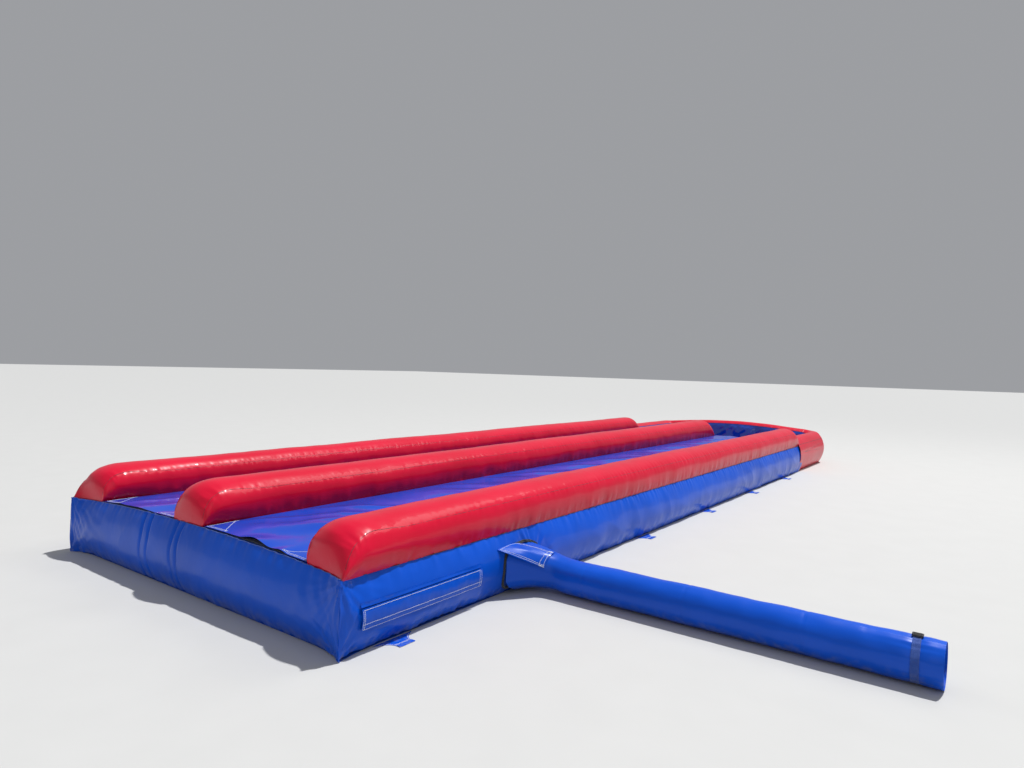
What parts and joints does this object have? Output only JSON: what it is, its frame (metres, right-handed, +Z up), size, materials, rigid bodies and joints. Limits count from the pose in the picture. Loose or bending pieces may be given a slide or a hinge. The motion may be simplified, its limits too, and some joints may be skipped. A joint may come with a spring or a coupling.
{
  "type": "inflatable water slide",
  "caption": "Inflatable two-lane water slide with rounded side rails, wet lane liners, splash pool, fan inlet tube and zipped deflation vent.",
  "frame": {"origin": "on the ground at the centre of the footprint", "axes": "+X across the lanes towards the side with the inflation tube, +Y along the run towards the pool, +Z up"},
  "size_m": [6.043, 11.7004, 0.76],
  "materials": {
    "blue_vinyl": "coated vinyl, semi-gloss",
    "liner_vinyl": "wet vinyl, gloss",
    "red_vinyl": "coated vinyl, semi-gloss",
    "blue_webbing": "woven polyester",
    "hook_and_loop": "woven, matte",
    "black_binding": "woven tape, matte",
    "black_plastic": "moulded, satin"
  },
  "bodies": {
    "body": {"base_baffles": "blue_vinyl", "base_deck": "blue_vinyl", "base_floor": "blue_vinyl", "base_wall_front": "blue_vinyl", "base_wall_left": "blue_vinyl", "base_wall_rear": "blue_vinyl", "base_wall_right": "blue_vinyl", "inflation_tube": "blue_vinyl", "inlet_binding": "black_binding", "inlet_collar": "blue_vinyl", "inlet_flap": "blue_vinyl", "liner_hook_strips": "hook_and_loop", "pool_ground_sheet": "liner_vinyl", "pool_liner_floor": "liner_vinyl", "pool_wall_inner": "liner_vinyl", "pool_wall_outer": "red_vinyl", "pool_wall_top": "red_vinyl", "rail_left_side_left": "red_vinyl", "rail_left_side_right": "red_vinyl", "rail_left_strip": "red_vinyl", "rail_middle_side_left": "red_vinyl", "rail_middle_side_right": "red_vinyl", "rail_middle_strip": "red_vinyl", "rail_right_side_left": "red_vinyl", "rail_right_side_right": "red_vinyl", "rail_right_strip": "red_vinyl", "slide_liner_left": "liner_vinyl", "slide_liner_right": "liner_vinyl", "tube_buckle": "black_plastic", "tube_strap": "blue_webbing", "zip_flap_hem": "blue_vinyl", "zip_loop_strip": "hook_and_loop", "zip_tape": "black_binding", "zip_teeth": "black_plastic"},
    "zip_flap": {"zip_flap": "blue_vinyl", "zip_hook_strip": "hook_and_loop"},
    "zip_slider": {"zip_slider": "black_plastic"},
    "anchor_tab_right_1": {"anchor_tab_right_1": "blue_vinyl"},
    "anchor_tab_right_2": {"anchor_tab_right_2": "blue_vinyl"},
    "anchor_tab_right_3": {"anchor_tab_right_3": "blue_vinyl"},
    "anchor_tab_right_4": {"anchor_tab_right_4": "blue_vinyl"},
    "anchor_tab_right_5": {"anchor_tab_right_5": "blue_vinyl"},
    "anchor_tab_right_6": {"anchor_tab_right_6": "blue_vinyl"},
    "anchor_tab_left_1": {"anchor_tab_left_1": "blue_vinyl"},
    "anchor_tab_left_2": {"anchor_tab_left_2": "blue_vinyl"},
    "anchor_tab_left_3": {"anchor_tab_left_3": "blue_vinyl"},
    "anchor_tab_left_4": {"anchor_tab_left_4": "blue_vinyl"},
    "anchor_tab_left_5": {"anchor_tab_left_5": "blue_vinyl"},
    "anchor_tab_left_6": {"anchor_tab_left_6": "blue_vinyl"}
  },
  "joints": [
    {"name": "zip_flap_hinge", "type": "hinge", "parent": "body", "child": "zip_flap", "pos_m": [1.699, -5.2, 0.2635], "axis": [0, -1, 0], "range_deg": [0, 150]},
    {"name": "zip_slider_slide", "type": "slide", "parent": "body", "child": "zip_slider", "axis": [0, 1, 0], "range_m": [0, 0.93]},
    {"name": "anchor_tab_right_1_hinge", "type": "hinge", "parent": "body", "child": "anchor_tab_right_1", "pos_m": [1.639, -5.43, 0.003], "axis": [0, -1, 0], "range_deg": [0, 55]},
    {"name": "anchor_tab_right_2_hinge", "type": "hinge", "parent": "body", "child": "anchor_tab_right_2", "pos_m": [1.639, -3.77, 0.003], "axis": [0, -1, 0], "range_deg": [0, 55]},
    {"name": "anchor_tab_right_3_hinge", "type": "hinge", "parent": "body", "child": "anchor_tab_right_3", "pos_m": [1.639, -2.11, 0.003], "axis": [0, -1, 0], "range_deg": [0, 55]},
    {"name": "anchor_tab_right_4_hinge", "type": "hinge", "parent": "body", "child": "anchor_tab_right_4", "pos_m": [1.639, -0.45, 0.003], "axis": [0, -1, 0], "range_deg": [0, 55]},
    {"name": "anchor_tab_right_5_hinge", "type": "hinge", "parent": "body", "child": "anchor_tab_right_5", "pos_m": [1.639, 1.21, 0.003], "axis": [0, -1, 0], "range_deg": [0, 55]},
    {"name": "anchor_tab_right_6_hinge", "type": "hinge", "parent": "body", "child": "anchor_tab_right_6", "pos_m": [1.639, 2.87, 0.003], "axis": [0, -1, 0], "range_deg": [0, 55]},
    {"name": "anchor_tab_left_1_hinge", "type": "hinge", "parent": "body", "child": "anchor_tab_left_1", "pos_m": [-1.639, -5.43, 0.003], "axis": [0, 1, 0], "range_deg": [0, 55]},
    {"name": "anchor_tab_left_2_hinge", "type": "hinge", "parent": "body", "child": "anchor_tab_left_2", "pos_m": [-1.639, -3.77, 0.003], "axis": [0, 1, 0], "range_deg": [0, 55]},
    {"name": "anchor_tab_left_3_hinge", "type": "hinge", "parent": "body", "child": "anchor_tab_left_3", "pos_m": [-1.639, -2.11, 0.003], "axis": [0, 1, 0], "range_deg": [0, 55]},
    {"name": "anchor_tab_left_4_hinge", "type": "hinge", "parent": "body", "child": "anchor_tab_left_4", "pos_m": [-1.639, -0.45, 0.003], "axis": [0, 1, 0], "range_deg": [0, 55]},
    {"name": "anchor_tab_left_5_hinge", "type": "hinge", "parent": "body", "child": "anchor_tab_left_5", "pos_m": [-1.639, 1.21, 0.003], "axis": [0, 1, 0], "range_deg": [0, 55]},
    {"name": "anchor_tab_left_6_hinge", "type": "hinge", "parent": "body", "child": "anchor_tab_left_6", "pos_m": [-1.639, 2.87, 0.003], "axis": [0, 1, 0], "range_deg": [0, 55]}
  ]
}
